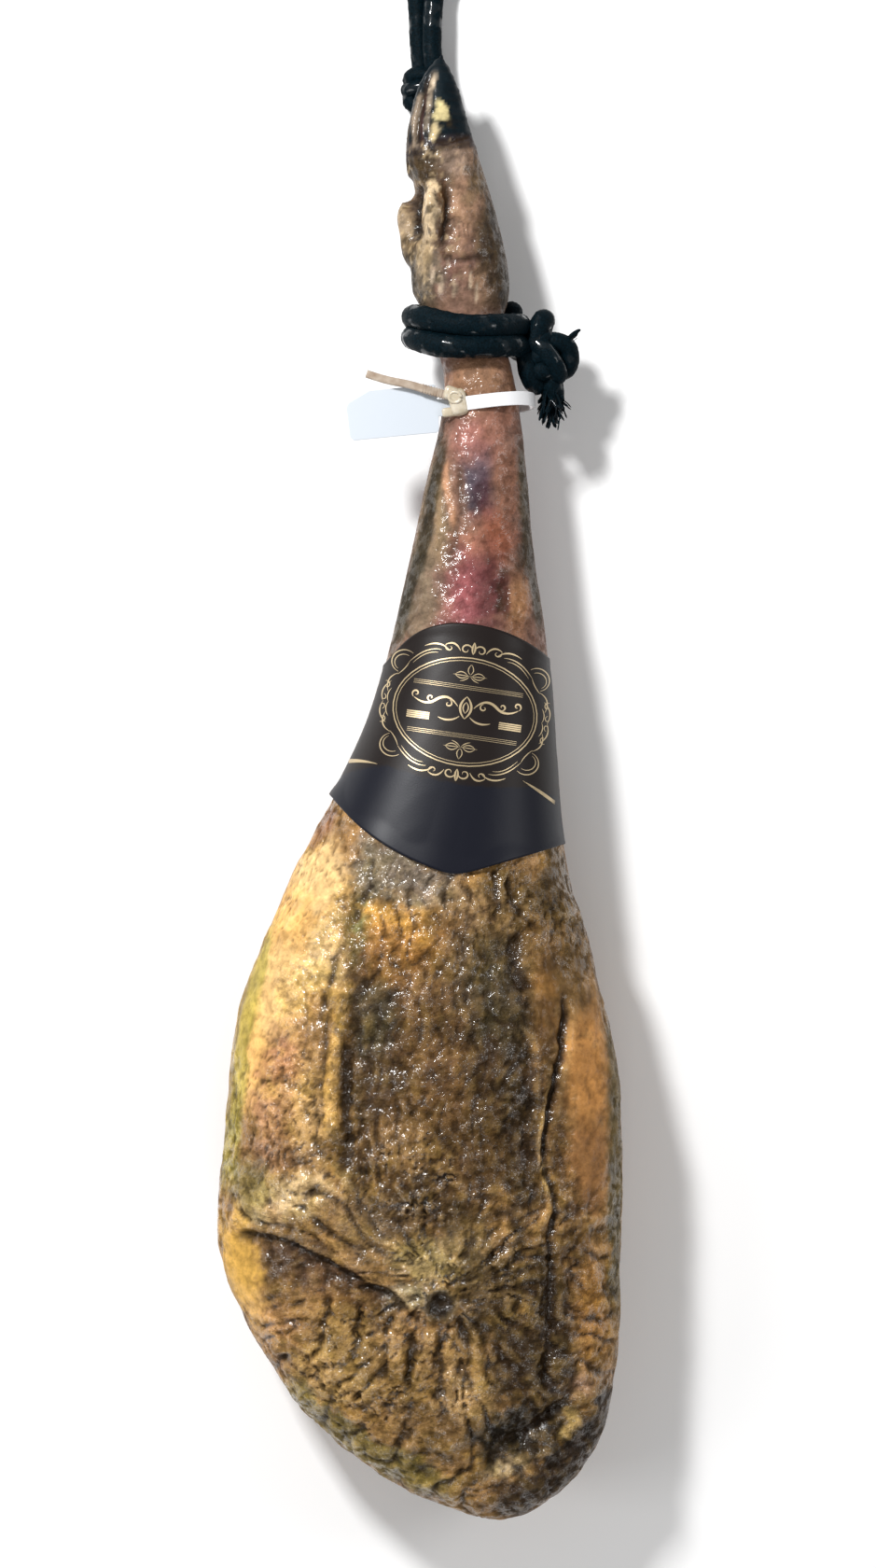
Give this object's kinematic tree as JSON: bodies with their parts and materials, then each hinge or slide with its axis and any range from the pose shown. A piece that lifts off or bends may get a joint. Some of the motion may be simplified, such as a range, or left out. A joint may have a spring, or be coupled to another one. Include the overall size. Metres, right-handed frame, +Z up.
{
  "type": "cured ham",
  "caption": "Whole air-cured ham with its foot, laid on its fat side, with a hanging rope, a plastic seal and a plain paper label round the shank.",
  "frame": {"origin": "middle of the ham's outline as it lies, on the surface it rests on", "axes": "+Y along the leg towards the hoof, +Z up out of the cut inner face, +X to the right seen from above with the hoof away"},
  "size_m": [0.2361, 0.9778, 0.123],
  "materials": {
    "cured_meat": "oily dried fat and lean, mottled ochre to dark brown",
    "label_paper": "black satin paper with plain gold ornament",
    "seal_white": "satin moulded nylon",
    "seal_clear": "milky translucent",
    "plate_white": "satin, blank",
    "black_rope": "black braid, greasy"
  },
  "bodies": {
    "root": {"ham": "cured_meat", "label": "label_paper", "seal_strap": "seal_white", "seal_head": "seal_clear", "seal_plate": "plate_white", "ankle_rope": "black_rope", "ankle_knot": "black_rope", "rope_tail": "black_rope", "hanging_loop": "black_rope", "hoof_knot": "black_rope"}
  },
  "joints": []
}
